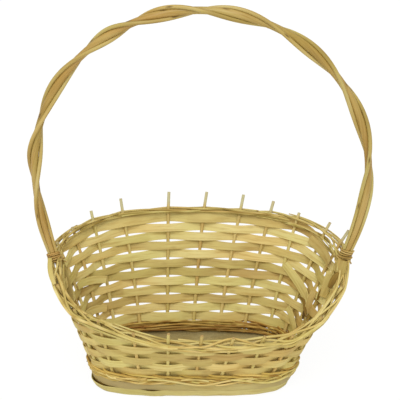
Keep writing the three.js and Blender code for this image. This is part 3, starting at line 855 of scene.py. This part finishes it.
def strand(name, start, end, height, spread, rod, material, inside, over, bark=0.3, ends=2.0,
           dark=0.9):
    """A thin split that wanders along the wall between two places, at about one height.

    inside keeps it on the inner side (True) or the outer side (False). over is its room beside
    the stakes, ends how far its two ends stand off, and dark its darkest tone.
    """
    rise = slow_wave(spread)
    side = chance.choice((-1, 1))
    sides = {}
    for k in range(int(np.floor(start)) - 1, ceil(end) + 2):
        side = -side if chance.random() < CHANCE_OF_CROSSING else side
        sides[k] = side if inside is None else (-1 if inside else 1)
    count = max(round((end - start) * WALE_STEPS), 8)
    points, radii = [], []
    for i in range(count + 1):
        place = start + (end - start) * i / count
        k = int(np.floor(place))
        part = 0.5 - 0.5 * cos(pi * (place - k))
        way = sides[k] + (sides[k + 1] - sides[k]) * part
        level = height(place) + rise(place)
        loose = ends * (exp(-((i / END_STEPS) ** 2)) + exp(-(((count - i) / END_STEPS) ** 2)))
        near_end = 0.5 * bump(place, 23.2, 1.3) + 0.6 * bump(place, 12.8, 1.2)
        reach = radius_at(place) + over * (1 - near_end) + rod
        away = reach * way + loose * (1 if way > 0 else -1) * 0.5
        points.append(wall(place, level + loose * 0.3) + wall_out(place, level) * away)
        radii.append(rod * (0.8 + 0.2 * sin(pi * i / count)))
    # The bark value also darkens the side facing into the basket: partly bark, partly painted shade.
    weave(name, points, radii, wandering_tones(count + 1, 0.0, dark), material, "wale_rods",
          inner_bark_and_shade=bark, sides=6)


# %% Strands along the rim
RIM_STRANDS = [
    # start, end, height above the rim wale's middle, spread, inside
    (2.7, 7.4, -0.5, 2.0, None), (3.2, 9.8, -2.0, 1.6, True), (4.4, 11.6, 0.8, 1.6, None),
    (0.4, 4.2, -6.5, 1.2, None), (0.6, 2.9, -7.6, 1.2, False), (8.2, 12.2, 0.5, 2.5, True),
    (3.2, 8.1, -3.0, 2.2, True), (6.1, 10.8, -2.2, 2.0, True), (9.6, 12.1, 2.0, 2.5, False),
    (10.3, 15.2, -0.5, 3.0, None), (11.5, 16.4, -2.0, 3.0, True), (11.8, 17.3, 1.0, 3.0, False),
    (12.3, 18.6, -1.0, 3.5, True), (13.2, 19.4, -2.5, 3.5, False), (15.4, 21.5, 1.5, 3.5, True),
    (16.2, 22.3, -1.5, 4.0, False), (17.3, 23.6, 1.0, 3.0, True), (19.2, 24.6, -1.0, 3.0, None),
    (20.1, 24.4, 1.5, 2.5, False), (20.8, 25.0, -3.0, 3.0, True), (21.3, 24.2, 0.0, 4.0, False),
    (14.6, 18.2, -3.0, 5.0, None), (17.0, 20.6, 3.0, 5.0, None), (19.4, 22.6, -3.5, 4.5, None)]
for i, (start, end, above, spread, inside) in enumerate(RIM_STRANDS):
    thick, dark = (1.25, 0.9) if start > 11 else (1, 1.4)
    strand(f"rim_strand_{i + 1:02d}", start, end, lambda place: rim_level(place) + above,
           spread, chance.uniform(0.85, 1.3) * thick, wale_willow, inside,
           over=2.0 + 0.35 * (i % 3), dark=dark)
print(len(RIM_STRANDS), "loose strands along the rim")

# %% Bundles of strands along the two falling rims
LEFT_BUNDLE, RIGHT_BUNDLE = 22, 16


def falling_level(place, foot, below):
    """A level below the rim wale that draws up to it away from the handle's foot."""
    return rim_level(place) - below * (1 - 0.7 * min(abs(place - foot) / 3.4, 1))


for i in range(LEFT_BUNDLE + RIGHT_BUNDLE):
    left = i < LEFT_BUNDLE
    start = chance.uniform(11.75, 12.5) if left else chance.uniform(20.6, 22.6)
    end = chance.uniform(13.9, 16.0) if left else chance.uniform(23.5, 24.4)
    foot = LEFT_FOOT if left else STAKES
    below = (i % 11) * (1.7 if left else 1.2)
    strand(f"falling_strand_{i + 1:02d}", start, end,
           lambda place: falling_level(place, foot, below), 1.8, chance.uniform(0.95, 1.45),
           wale_willow, (True, None, True, None, False)[i % 5],
           over=(1.6, -0.6, 3.2, 0.8, -0.4)[i % 5], bark=0.7, ends=0.8, dark=1.3)
print(LEFT_BUNDLE + RIGHT_BUNDLE, "strands in the bundles")

# %% Strands spread at the right back, and on the board, and outside along the base
SPREAD_STRANDS = [
    # start, end, height above the rim wale's middle, inside, room beside the stakes
    (0.3, 3.4, 2.4, False, 3.2), (0.25, 2.9, 1.0, False, 5.5), (0.4, 4.4, -5.6, None, 2.0),
    (0.3, 3.0, -7.0, True, 1.5), (0.5, 2.7, 0.2, False, 1.5)]
for i, (start, end, above, inside, over) in enumerate(SPREAD_STRANDS):
    strand(f"spread_strand_{i + 1:02d}", start, end, lambda place: rim_level(place) + above,
           0.9, chance.uniform(0.7, 0.95), wale_willow, inside, over, ends=1.0)

BOARD_STARTS = (3.0, 3.6, 5.2, 2.2, 6.6, 4.4, 1.0, 7.3, 2.6, 5.8,
                4.0, 0.4, 6.9, 5.0, 7.8, 3.3, 6.1, 8.2, 2.0, 4.7)
BOARD_LENGTHS = (5.6, 3.4, 4.3, 3.0, 3.2, 5.0, 2.4, 3.0, 6.2, 3.6,
                 2.6, 2.6, 2.8, 3.9, 2.2, 4.6, 2.9, 2.4, 3.1, 4.0)
for i, (start, length) in enumerate(zip(BOARD_STARTS, BOARD_LENGTHS)):
    strand(f"board_strand_{i + 1:02d}", start, start + length,
           lambda place: PANEL_TOP + 1.6 + (i % 6) * 1.9, 1.5, chance.uniform(0.75, 1.2),
           base_wale_willow, True, over=1.2 + 1.9 * (i % 4), bark=0.35 + 0.16 * (i % 5),
           ends=1.4, dark=1.2)

BASE_STARTS = (12.2, 14.1, 16.3, 18.2, 20.4, 12.9, 17.2, 15.2, 19.3, 21.2, 13.4,
               18.8, 16.0, 11.6, 0.4, 3.1, 5.6, 8.3, 1.9, 7.0, 4.4, 9.8)
# The first kind is darker half-peeled willow with tones up to 1.5: partly bark colour, partly painted
# shade for the dark gaps between strands.
BASE_KINDS = ((4.2, base_wale_willow, 1.5), (5.1, wale_willow, 1.1), (3.8, wale_willow, 0.6))
for i, start in enumerate(BASE_STARTS):
    length, material, dark = BASE_KINDS[i % 3]
    strand(f"base_strand_{i + 1:02d}", start, start + length,
           lambda place: PANEL_TOP + 4.6 + 4.3 * sin(2 * pi * (place / 3.4 + i / 5)),
           1.6, chance.uniform(1.15, 1.6), material, (False, None)[i % 2],
           over=0.5 + 0.9 * (i % 3), bark=0.6, ends=1.2, dark=dark)
print("strands at the back, on the board and along the base")

# %% [markdown]
# ## The handle
#
# The hoop is one stout rod with a thinner rod twisted along each edge, so the three turn together
# like a ribbon: broad to the front, then narrow where it is seen edge-on. A Screw modifier would
# make an even twist. The real one is uneven, so a table gives how many half-turns have been made
# along the hoop, and the curve's tilt follows it.

# %% The handle's sizes and path
HANDLE_HALF_SPAN = 181.5
SPRING_HEIGHT = 255
HANDLE_RISE = 187.5
HANDLE_LEAN = 3
HANDLE_BOTTOM = 1.4
LEG_STIFFNESS = 0.7
LEG_STEP = 3.0
ARCH_STEPS = 150
CORE_HALF = 4.1
WRAP_ROD = 1.7
THIN_BELOW, THIN_LENGTH = 10, 80
TWIST = [(0, 0), (0.025, 0), (0.112, 0.5), (0.209, 1.5), (0.34, 2.5), (0.4147, 3.5),
         (0.51, 4.5), (0.6115, 5.5), (0.7235, 6.5), (0.845, 7.5), (0.905, 8), (1, 8)]
TWIST_SMOOTHING = (-0.03, -0.015, 0, 0.015, 0.03)


def leg(place, height):
    """A leg of the handle: along the wall to the rim, then in a soft bend to the arch."""
    leaving = rim_top(place)
    if height <= leaving:
        return wall(place, height)
    foot = wall(place, leaving)
    lean = (foot - wall(place, leaving - 1)) * LEG_STIFFNESS
    rise = SPRING_HEIGHT - leaving
    u = (height - leaving) / rise
    top_x = copysign(HANDLE_HALF_SPAN, foot.x) + HANDLE_LEAN / 2
    x = (foot.x * (2 * u**3 - 3 * u**2 + 1) + rise * lean.x * (u**3 - 2 * u**2 + u)
         + top_x * (3 * u**2 - 2 * u**3))
    return Vector((x, 0, height))


def handle_line(lowest):
    count = ceil((SPRING_HEIGHT - lowest) / LEG_STEP)
    heights = [lowest + (SPRING_HEIGHT - lowest) * i / count for i in range(count)]
    arch = []
    for i in range(ARCH_STEPS + 1):
        turn = pi * (1 - i / ARCH_STEPS)
        x = HANDLE_HALF_SPAN * cos(turn) + HANDLE_LEAN * (0.5 - sin(turn))
        arch.append(Vector((x, 0, SPRING_HEIGHT + HANDLE_RISE * sin(turn))))
    return ([leg(LEFT_FOOT, h) for h in heights] + arch
            + [leg(RIGHT_FOOT, h) for h in reversed(heights)])


def half_turns(share):
    """The twist table, smoothed over a short stretch."""
    places, turns = zip(*TWIST)
    near = [min(max(share + d, 0), 1) for d in TWIST_SMOOTHING]
    return float(np.mean(np.interp(near, places, turns)))


# %% The three rods of the handle
ACROSS = Vector((0, 1, 0))
wrap_bottom = WALL_HEIGHT - RIM_DROP[0] + 1.2


def soft_corner(value, power):
    """Squares a circle's sine or cosine off a little."""
    return copysign(abs(value) ** power, value)


handle_section = section("handle_section", [
    (4.0 * soft_corner(cos(a), 0.85), CORE_HALF * soft_corner(sin(a), 0.9))
    for a in [2 * pi * i / 20 for i in range(20)]])


def thin_share(height, start):
    return min(max((height - start) / THIN_LENGTH, 0), 1)


def core_share(height):
    """The core is thinner in the weave, and grows to its full size above the rim."""
    return 0.58 + 0.42 * thin_share(height, WALL_HEIGHT - THIN_BELOW)


def ribbon(line):
    """For each point of a handle line: the direction of the ribbon's width."""
    total = [0.0]
    for a, b in zip(line, line[1:]):
        total.append(total[-1] + (b - a).length)
    above = [length for length, p in zip(total, line) if p.z >= wrap_bottom - 0.01]
    begin, span = above[0], above[-1] - above[0]
    directions = []
    for i in range(len(line)):
        before, after = line[max(i - 1, 0)], line[min(i + 1, len(line) - 1)]
        along = (after - before).normalized()
        in_plane = ACROSS.cross(along).normalized()
        turn = pi * half_turns(min(max((total[i] - begin) / span, 0), 1))
        directions.append(in_plane * cos(turn) + ACROSS * sin(turn))
    return directions


core_line = handle_line(HANDLE_BOTTOM)
weave("willow_handle_core", core_line, [core_share(p.z) for p in core_line],
      wandering_tones(len(core_line), 0.2, 0.75), handle_willow, "handle_rods", "handle_core",
      cut=False, shape=handle_section, ups=ribbon(core_line), standing=True)

wrap_line = handle_line(wrap_bottom)
wrap_ways = ribbon(wrap_line)
for side, name in ((1, "handle_wrap_rod_a"), (-1, "handle_wrap_rod_b")):
    sway = slow_wave(0.25)
    points, radii = [], []
    for i, (point, way) in enumerate(zip(wrap_line, wrap_ways)):
        wide = CORE_HALF * core_share(point.z)
        wrap = WRAP_ROD + 0.5 * thin_share(point.z, wrap_bottom)
        out = wide + wrap * 0.93 + sway(i * STAKES / len(wrap_line))
        points.append(point + way * side * out)
        radii.append(wrap)
    weave(f"willow_{name}", points, radii, wandering_tones(len(points), 0.15, 0.8),
          handle_wrap_willow, "handle_rods", name, standing=True, sides=12)
print("the hoop is", round(max(p.z for p in core_line)), "mm high at its middle line")

# %% [markdown]
# ## Bindings
#
# At each foot a thin split is wound round the three rods. A coil with perfect turns looks like a
# spring, so the turns slant and crowd a little. A few more turns go lower and tie the handle to
# the rim.

# %% The bindings
BINDER = 0.85
TURN_STEPS = 24
TURN_SLANT = 0.8
FREE_END = 3.5
SQUARED = 0.8


def coil(name, foot, lowest, highest, turns, room, mess, node=None):
    """Winds a binder round the handle's foot, with slanting, crowded turns and a free end."""
    count = turns * TURN_STEPS
    slant, swell = slow_wave(mess, 4), slow_wave(mess * 0.5, 4)
    hand = 1 if foot == RIGHT_FOOT else -1
    points = []
    for i in range(count + 1):
        turn = 2 * pi * i / TURN_STEPS
        height = lowest + (highest - lowest) * i / count + TURN_SLANT * sin(turn + 0.6) * hand
        height += slant(i * STAKES / count)
        centre = leg(foot, height)
        along = (leg(foot, height + 1) - leg(foot, height - 1)).normalized()
        in_plane = ACROSS.cross(along).normalized()
        free = FREE_END * exp(-((i / END_STEPS) ** 2))
        core_half = CORE_HALF * core_share(height)
        bulge = swell(i * STAKES / count)
        wide = core_half + 2 * WRAP_ROD + 0.75 + room + bulge + free
        deep = core_half + 1.0 + room + bulge
        points.append(centre + in_plane * wide * soft_corner(cos(turn), SQUARED)
                      + ACROSS * deep * soft_corner(sin(turn), SQUARED)
                      - Vector((0, 0, free * 0.6)))
    weave(name, points, [BINDER] * len(points), wandering_tones(len(points), 0.1, 0.9),
          binding_willow, "bindings", node, sides=8)


coil("willow_binding_right", RIGHT_FOOT, 147, 159, 5, 0.0, 0.9, "handle_binding_right")
coil("willow_binding_right_lower", RIGHT_FOOT, 141, 152, 3, 0.9, 1.3)
coil("willow_binding_left", LEFT_FOOT, 146, 155, 4, 0.0, 0.9, "handle_binding_left")
coil("willow_binding_left_lower", LEFT_FOOT, 142, 149, 2, 0.8, 1.2)
print("bindings at both feet")

# %% [markdown]
# ## Joints and torn ends
#
# Where a length of willow runs out, the maker lays the next one over it, and the cut end stays in
# sight. At the right end several were pushed in steeply, and strips of bark tore away and curled up
# brown. They could be sculpted, but a line through a few stops is easier to move: the stake number,
# the height and how far inside the wall's middle it lies.

# %% Short lengths laid along the wall


def through(stops, count):
    """A smooth line of values through a few stops."""
    t = np.arange(len(stops))
    rule = np.polyfit(t, stops, len(stops) - 1)
    return [float(np.polyval(rule, v)) for v in np.linspace(0, len(stops) - 1, count)]


def overlay(name, stops, widths, tone, bark=0.0, material=strip_willow, rod=False, facing=None,
            forward=0):
    """Lays one short length; widths are a flat piece's widths or a rod's radii.

    facing turns a flat piece's width that way; forward moves the piece to the front.
    """
    count = 8 * len(stops)
    places, heights, insets = (through(values, count) for values in zip(*stops))
    sizes = through(widths, count)
    points = [wall(p, h) - wall_out(p, h) * n - Vector((0, forward, 0))
              for p, h, n in zip(places, heights, insets)]
    tones, barks = [tone] * count, [bark] * count
    if rod:
        weave(name, points, sizes, tones, material, "wale_rods", barks=barks, sides=8)
    else:
        ups = [Vector(facing) if facing else wall_up(p, h) for p, h in zip(places, heights)]
        weave(name, points, [w / STRIP_WIDTH for w in sizes], tones, material,
              "willow_strips", barks=barks, shape=strip_section, ups=ups)


overlay("joint_top_right", [(2.35, 136, 3.8), (1.75, 132, 5), (1.1, 130.5, 5.4), (0.5, 130, 6)],
        [10.5, 12, 12, 9], 0.75, 0.4)
overlay("joint_dive_right", [(2.95, 101, 3.6), (2.1, 89, 5), (1.2, 84, 6.5), (0.3, 86, 8.5)],
        [8.5, 11.5, 12, 9], 0.3)
overlay("joint_low_right", [(2.2, 58, 3.8), (1.3, 50, 5), (0.6, 47, 4)], [8, 9, 7], 0.45)
overlay("joint_left", [(9.1, 86, 4.4), (10, 92, 5.2), (11.2, 98, 4.4)], [8, 9.5, 8], 0.35)
overlay("joint_left_low", [(9.4, 55, 4.2), (10.3, 60, 5.2), (11.4, 66, 4.4)], [8, 9.5, 8], 0.25)
overlay("flat_end_right", [(-0.12, 149, 3), (-0.3, 139, 2.5), (-0.42, 129, 2), (-0.52, 121, 1.5)],
        [6, 9, 9, 6], 0.8, 0.5, wale_willow, facing=(1, 0.2, 0), forward=7)
overlay("flat_flap_right", [(0, 131, 6.5), (-0.18, 119, 5), (-0.36, 105, 4)], [8, 10.5, 8],
        0.55, 0.3, wale_willow, facing=(1, 0.1, 0.1), forward=4)
overlay("torn_bark_upper", [(-0.28, 138, 5.5), (-0.36, 130, 6.5), (-0.42, 120, 6.5)],
        [3, 7.5, 4], 0.5, 0.2, torn_bark, facing=(1, -0.5, 0), forward=9)
overlay("torn_bark_side", [(-0.22, 112, 6.5), (-0.3, 106, 7), (-0.36, 98, 6)], [3, 5, 3],
        0.4, 0, torn_bark, facing=(1, 0.6, 0))
overlay("torn_bark_curl",
        [(1.55, 76, 5), (1, 79, 8), (0.45, 81, 9), (0, 80, 9), (-0.35, 75, 7)],
        [1, 1.7, 1.9, 1.7, 1.2], 0.6, 0.4, torn_bark, rod=True)
overlay("torn_bark_curl_low", [(0.25, 84, 5.5), (0.05, 77, 7), (-0.02, 69, 6)], [1.2, 1.8, 1.2],
        0.7, 0.6, torn_bark, rod=True)
# A dark bark strip behind the lower foot band fills the slit at the left corner: painted shade, not a
# tucked end.
overlay("foot_slit_shade_strip",
        [(11.9, 6, -1.6), (12.9, 6, -2.8), (13.9, 6, -3.4), (15.2, 5.5, -1.8),
         (16.4, 5.5, -2.4), (16.95, 5.5, -0.6)], [8, 10.5, 10.5, 10, 10, 8], 0.5, 0.3, torn_bark)
overlay("bundle_left_outer",
        [(12.2, 152, -2.5), (12.45, 147, -3), (12.75, 141, -3), (13, 133, -2.5)],
        [4, 5.5, 5.5, 4], 0.5, 0.35, wale_willow, facing=(1, 0.2, 0.3))
overlay("bundle_left_inner",
        [(11.55, 146, 2.5), (11.85, 132, 2.5), (12.15, 116, 2.5), (12.6, 100, 2)],
        [5, 8, 8, 6], 0.9, 0.55, wale_willow, facing=(1, 0.2, 0.3))
overlay("twig_left", [(12.55, 25, -1), (12.5, 23, -4.5), (12.42, 21, -8)], [0.8, 0.75, 0.6],
        0.9, 0.6, torn_bark, rod=True)
overlay("cut_end_right", [(0.5, 96, 5), (0.2, 87, 6), (0, 77, 5)], [6, 8, 6], 0.7, 0.4,
        facing=(1, 0.5, 0.2))
overlay("thin_end_right", [(0.05, 148, 4.5), (-0.35, 137, 5.5), (-0.8, 122, 5)], [0.9, 1, 0.8],
        0.05, 0, wale_willow, rod=True)
print("joints and torn ends")

# %% [markdown]
# ## The base board
#
# The floor of the basket is a thin board of pressed wood, grey-beige and dull, with a hole for each
# stake near its edge. A Boolean could cut the holes. One flat curve that holds outline and holes is
# cleaner, and its extrude and bevel give it thickness and worn edges.

# %% The board's shape
EDGE_STEPS = 8
HOLE_SIDES = 16
PAST_STAKES = 3.5
HOLE_ROOM = 0.35
WORN_EDGE = 0.0002
middle = (PANEL_BOTTOM + PANEL_TOP) / 2


def board_outlines():
    """The edge of the board and the holes for the stakes, in metres."""
    places = [i / EDGE_STEPS for i in range(STAKES * EDGE_STEPS)]
    edge = [to_part(wall(p, middle) + wall_out(p, middle) * PAST_STAKES) for p in places]
    yield [point.xy for point in edge]
    for place in range(STAKES):
        centre = to_part(wall(place, middle)).xy
        size = (radius_at(place) + HOLE_ROOM) * MM
        turns = [2 * pi * i / HOLE_SIDES for i in range(HOLE_SIDES)]
        yield [centre + Vector((cos(a), sin(a))) * size for a in turns]


board = flat_curve("pressed_base_board", board_outlines())
board.data.extrude = (PANEL_TOP - PANEL_BOTTOM) / 2 * MM - WORN_EDGE
board.data.bevel_depth = WORN_EDGE
board.location = (0, 0, to_part((0, 0, middle)).z)
bpy.ops.object.convert(target="MESH")
bpy.ops.object.transform_apply()
sew()
print("board:", len(board.data.polygons), "faces, height",
      round(board.dimensions.z * 1000, 2), "mm")

# %% The board's finish
pressed_board, board_shader = new_finish("pressed_wood_board")
board_place = object_place(pressed_board)
board_fibre = noise(pressed_board, board_place, 420, Detail=5, Roughness=0.65, Distortion=1.2)
board_stain = noise(pressed_board, board_place, 22, Detail=3)
board_colour = mix(
    pressed_board, 0.8,
    colour_ramp(pressed_board, board_fibre, [(0.3, "918358"), (0.62, "b1a372")]),
    colour_ramp(pressed_board, board_stain, [(0.35, "d6cbb0"), (0.65, WHITE)]), "MULTIPLY")
board_bump = add_node(pressed_board, "Bump", {
    "Height": board_fibre, "Strength": 0.4, "Distance": 0.0001}).outputs["Normal"]
feed(board_shader, {"Base Color": board_colour, "Roughness": 0.82, "Normal": board_bump})
board.data.materials.append(pressed_board)
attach(board, "root")
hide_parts("base_panel")

# %% [markdown]
# ## Floor and light
#
# The basket stands on a white sheet in soft light. A plain white floor would turn grey, so this one
# glows white to the camera, yet keeps a part of its own shading, so that a faint shadow stays.
# Under the raised board the glow fades out, or it would show through every slit of the foot. A
# broad sun from the upper left and a pale sky light the object at a level where a colour renders
# about as it is written.

# %% The floor
SHEET_SIZE = 40
SHEET_COLOUR = (0.92, 0.92, 0.92, 1)
SHEET_GLOW = 1.03
GLOW_SHARE = 0.9
FOOT_MIDDLE, FOOT_HALF = (-0.0112, -0.02505), (0.1115, 0.0505)
FOOT_ROUNDNESS = 3.7

floor = add(bpy.ops.mesh.primitive_plane_add, "white_sheet", size=SHEET_SIZE)
sheet_white, sheet_shader = new_finish("white_paper_sheet")
feed(sheet_shader, {"Base Color": SHEET_COLOUR, "Roughness": 0.9})
seen = add_node(sheet_white, "LightPath").outputs["Is Camera Ray"]
from_foot = add_node(sheet_white, "Mapping", {
    "Vector": object_place(sheet_white),
    "Location": (-FOOT_MIDDLE[0] / FOOT_HALF[0], -FOOT_MIDDLE[1] / FOOT_HALF[1], 0),
    "Scale": (1 / FOOT_HALF[0], 1 / FOOT_HALF[1], 1)}).outputs["Vector"]
parts = add_node(sheet_white, "SeparateXYZ", {"Vector": from_foot}).outputs
raised = [maths(sheet_white, "POWER", maths(sheet_white, "ABSOLUTE", parts[axis]), FOOT_ROUNDNESS)
          for axis in ("X", "Y")]
across = maths(sheet_white, "ADD", *raised)
glow_share = add_node(sheet_white, "MapRange", {
    "Value": across, "From Min": 0.75, "From Max": 1, "To Min": 0,
    "To Max": GLOW_SHARE}).outputs["Result"]
glow = add_node(sheet_white, "Emission", {"Color": WHITE, "Strength": SHEET_GLOW}).outputs[0]
mixed = add_node(sheet_white, "MixShader", {
    0: maths(sheet_white, "MULTIPLY", seen, glow_share), 1: sheet_shader.outputs[0],
    2: glow}).outputs[0]
feed(sheet_white.node_tree.nodes["Material Output"], {"Surface": mixed})
floor.data.materials.append(sheet_white)

# %% The lights
SKY_LIGHT = 0.7
SKY_COLOUR = (1, 0.975, 0.86, 1)
SUN_COLOUR = (1, 0.995, 0.985)
SUN_STRENGTH = 1.65
SUN_WIDTH = radians(40)
SUN_TURN = (radians(34), radians(-5), 0)

scene = bpy.context.scene
scene.view_settings.view_transform = "Standard"
world = bpy.data.worlds.new("pale_studio")
world.use_nodes = True
# The camera sees a white sky, while the light that falls on the basket is weaker.
sky_seen = add_node(world, "LightPath").outputs["Is Camera Ray"]
sky_strength = maths(world, "MULTIPLY_ADD", sky_seen, 1 - SKY_LIGHT, SKY_LIGHT)
feed(world.node_tree.nodes["Background"], {"Color": SKY_COLOUR, "Strength": sky_strength})
scene.world = world
sun = add(bpy.ops.object.light_add, "broad_sun", type="SUN", rotation=SUN_TURN)
sun.data.energy = SUN_STRENGTH
sun.data.angle = SUN_WIDTH
sun.data.color = SUN_COLOUR

# %% Remove the loose outlines and finish
for outline in (strip_section, handle_section):
    bpy.data.objects.remove(outline)
